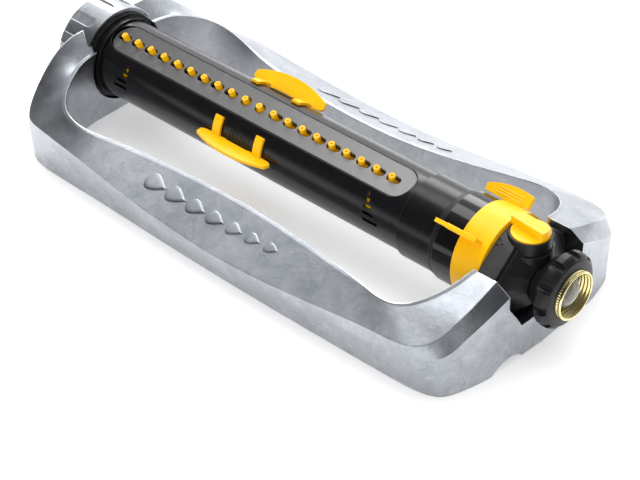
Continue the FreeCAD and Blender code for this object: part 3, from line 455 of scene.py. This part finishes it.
def rail_relief():
    """Row of plain water drops raised on the sloping top of each rail."""
    casting = frame["nodes"]["base_frame"].data
    skin = BVHTree.FromPolygons([v.co for v in casting.vertices],
                                [p.vertices for p in casting.polygons])
    rails = (("near_rail_drops", -1, -62.0, 70.5), ("far_rail_drops", 1, -54.0, 72.5))
    for name, side, start, middle in rails:
        shapes, u = [], start
        for k in range(RAIL_DROPS):
            length, width = 17.0 - k, 13.0 - 0.8 * k
            shapes.append((teardrop(length, width), u, 0.0))
            u += length / 2 + DROP_SPACING

        def place(u, v, lift):
            x, y = u * MM, side * (middle + v) * MM
            hit, _, _, _ = skin.ray_cast(Vector((x, y, SKY)), Vector((0, 0, -1)))
            return hit + Vector((0, 0, lift * MM))

        piece(name, *relief_rows(shapes, place), "cast_metal", "base")


def cover_mark():
    """Three small drops raised on the grained cover."""
    shapes = [(teardrop(2.6, 1.8), 150.2, 13.4), (teardrop(2.2, 1.5), 152.6, 15.3),
              (teardrop(1.9, 1.3), 150.4, 16.9)]

    def place(u, v, lift):
        return round_axis(u, COVER_RADIUS + 0.25 * lift, v / COVER_RADIUS)

    piece("cover_mark", *relief_rows(shapes, place), "gloss_black_plastic", "base")


brass_insert()
filter_dome()
rail_relief()
cover_mark()


# ------------------------------------------------------------------ stage

FLOOR_HALF = 6.0
FLOOR_GLOW = 0.42
ROOM_BRIGHT_SIDE = (-0.55, 0.72, 0.42)
ROOM_TONES = ((0.0, 0.20), (0.22, 0.06), (0.62, 0.08), (0.79, 0.38), (0.93, 0.80), (1.0, 1.0))
ROOM_STRENGTH = 1.6
LENS = 121.5
SENSOR = 36.0
CAMERA_AT = (0.7126, -0.7641, 0.7802)
CAMERA_AZIMUTH = math.radians(42.838)
CAMERA_ELEVATION = math.radians(37.396)
CAMERA_ROLL = math.radians(-0.105)


def floor():
    """Pale paper floor."""
    mesh = bpy.data.meshes.new("floor")
    corners = [(x * FLOOR_HALF, y * FLOOR_HALF, 0) for x, y in ((-1, -1), (1, -1), (1, 1), (-1, 1))]
    mesh.from_pydata(corners, [], [(0, 1, 2, 3)])
    made = bpy.data.objects.new("floor", mesh)
    bpy.context.collection.objects.link(made)
    look = Look("floor_paper")
    base = look.ramp(look.noise(0.4, 3, 0.5), (0.3, 0.86), (0.7, 0.9))
    mesh.materials.append(look.finish(base))
    look.set(Roughness=0.85, Emission_Color=(1.0, 1.0, 1.0, 1.0), Emission_Strength=FLOOR_GLOW)


def soft_light(name, place, aim, size_x, size_y, watts, mirrored=True):
    """Rectangular lamp; one that is not mirrored lights surfaces but shows in no reflection."""
    data = bpy.data.lights.new(name, "AREA")
    data.shape = "RECTANGLE"
    data.size, data.size_y, data.energy = size_x, size_y, watts
    made = bpy.data.objects.new(name, data)
    bpy.context.collection.objects.link(made)
    made.location = place
    made.rotation_mode = "QUATERNION"
    made.rotation_quaternion = (Vector(aim) - Vector(place)).to_track_quat("-Z", "Y")
    made.visible_glossy = mirrored


def studio_world():
    """Plain room: dim overhead, brighter towards one soft wall behind the object."""
    world = bpy.data.worlds.new("studio")
    bpy.context.scene.world = world
    world.use_nodes = True
    nodes, links = world.node_tree.nodes, world.node_tree.links
    way = nodes.new("ShaderNodeTexCoord")
    dot = nodes.new("ShaderNodeVectorMath")
    dot.operation = "DOT_PRODUCT"
    dot.inputs[1].default_value = Vector(ROOM_BRIGHT_SIDE).normalized()
    links.new(way.outputs["Generated"], dot.inputs[0])
    half = nodes.new("ShaderNodeMath")
    half.operation = "MULTIPLY_ADD"
    half.inputs[1].default_value = 0.5
    half.inputs[2].default_value = 0.5
    links.new(dot.outputs["Value"], half.inputs[0])
    ramp = nodes.new("ShaderNodeValToRGB")
    marks = ramp.color_ramp.elements
    while len(marks) < len(ROOM_TONES):
        marks.new(0.5)
    for mark, (position, tone) in zip(marks, ROOM_TONES):
        mark.position = position
        mark.color = (tone * 0.97, tone * 0.985, tone, 1.0)
    links.new(half.outputs[0], ramp.inputs["Fac"])
    links.new(ramp.outputs["Color"], nodes["Background"].inputs["Color"])
    nodes["Background"].inputs["Strength"].default_value = ROOM_STRENGTH


def lights():
    studio_world()
    soft_light("wall", (-1.0, 1.25, 1.15), (0, 0, 0), 1.0, 0.7, 13)
    soft_light("end_patch", (-0.36, 0.08, 1.08), (0.15, -0.05, 0.04), 0.42, 0.42, 2.2)
    soft_light("ceiling", (-0.2, 0.1, 2.0), (0, 0, 0), 3.2, 3.2, 44, mirrored=False)
    soft_light("front", (0.5, -1.6, 0.8), (0, 0, 0.03), 1.6, 0.9, 10, mirrored=False)


def camera():
    data = bpy.data.cameras.new("camera")
    data.lens = LENS
    data.sensor_width = SENSOR
    made = bpy.data.objects.new("camera", data)
    bpy.context.collection.objects.link(made)
    level = math.cos(CAMERA_ELEVATION)
    back = Vector((level * math.sin(CAMERA_AZIMUTH), -level * math.cos(CAMERA_AZIMUTH),
                   math.sin(CAMERA_ELEVATION)))
    made.location = CAMERA_AT
    made.rotation_mode = "QUATERNION"
    turn = (-back).to_track_quat("-Z", "Y").to_matrix() @ Matrix.Rotation(CAMERA_ROLL, 3, "Z")
    made.rotation_quaternion = turn.to_quaternion()
    bpy.context.scene.camera = made


floor()
lights()
camera()
bpy.context.scene.view_settings.view_transform = "Standard"
